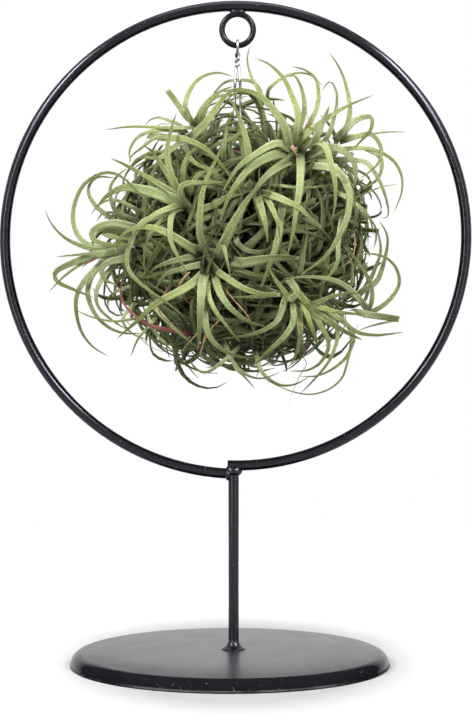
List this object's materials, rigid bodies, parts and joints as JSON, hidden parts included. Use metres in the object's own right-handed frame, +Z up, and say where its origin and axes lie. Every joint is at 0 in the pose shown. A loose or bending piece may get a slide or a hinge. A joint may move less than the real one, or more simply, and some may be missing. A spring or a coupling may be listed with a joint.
{
  "type": "air plant holder",
  "caption": "Black wire hoop on a stem and a round pressed base, with an eye ring under its top where a ball of air plants hangs on a looped, twisted wire.",
  "frame": {"origin": "middle of the overall width and depth, on the surface that the base stands on", "axes": "+Z up along the stem; the hoop lies in the X-Z plane, and -Y faces the viewer of the front"},
  "size_m": [0.2356, 0.161, 0.3324],
  "materials": {
    "black_coating": "satin",
    "bright_wire": "polished",
    "plant_stem": "matte",
    "leaf": "matte"
  },
  "bodies": {
    "stand": {"base_plate": "black_coating", "stem_rod": "black_coating", "stem_foot_weld": "black_coating", "hoop": "black_coating", "hoop_weld": "black_coating", "hanging_ring": "black_coating", "ring_weld": "black_coating"},
    "hanger": {"hanger_wire": "bright_wire"},
    "plant": {"stem_knot": "plant_stem", "rosette_01": "leaf", "rosette_02": "leaf", "rosette_03": "leaf", "rosette_04": "leaf", "rosette_05": "leaf", "rosette_06": "leaf", "rosette_07": "leaf", "rosette_08": "leaf", "rosette_09": "leaf", "rosette_10": "leaf", "rosette_11": "leaf", "rosette_12": "leaf", "rosette_13": "leaf", "rosette_14": "leaf", "rosette_15": "leaf", "rosette_16": "leaf", "rosette_17": "leaf", "rosette_18": "leaf", "rosette_19": "leaf", "rosette_20": "leaf"}
  },
  "joints": [
    {"name": "hanger_swing", "type": "hinge", "parent": "stand", "child": "hanger", "pos_m": [0.0009, 0, 0.31025], "axis": [1, 0, 0], "range_deg": [-60, 60]},
    {"name": "plant_turn", "type": "hinge", "parent": "hanger", "child": "plant", "pos_m": [0.0009, 0, 0.2152], "axis": [0, 0, 1], "range_deg": [-90, 90]}
  ]
}
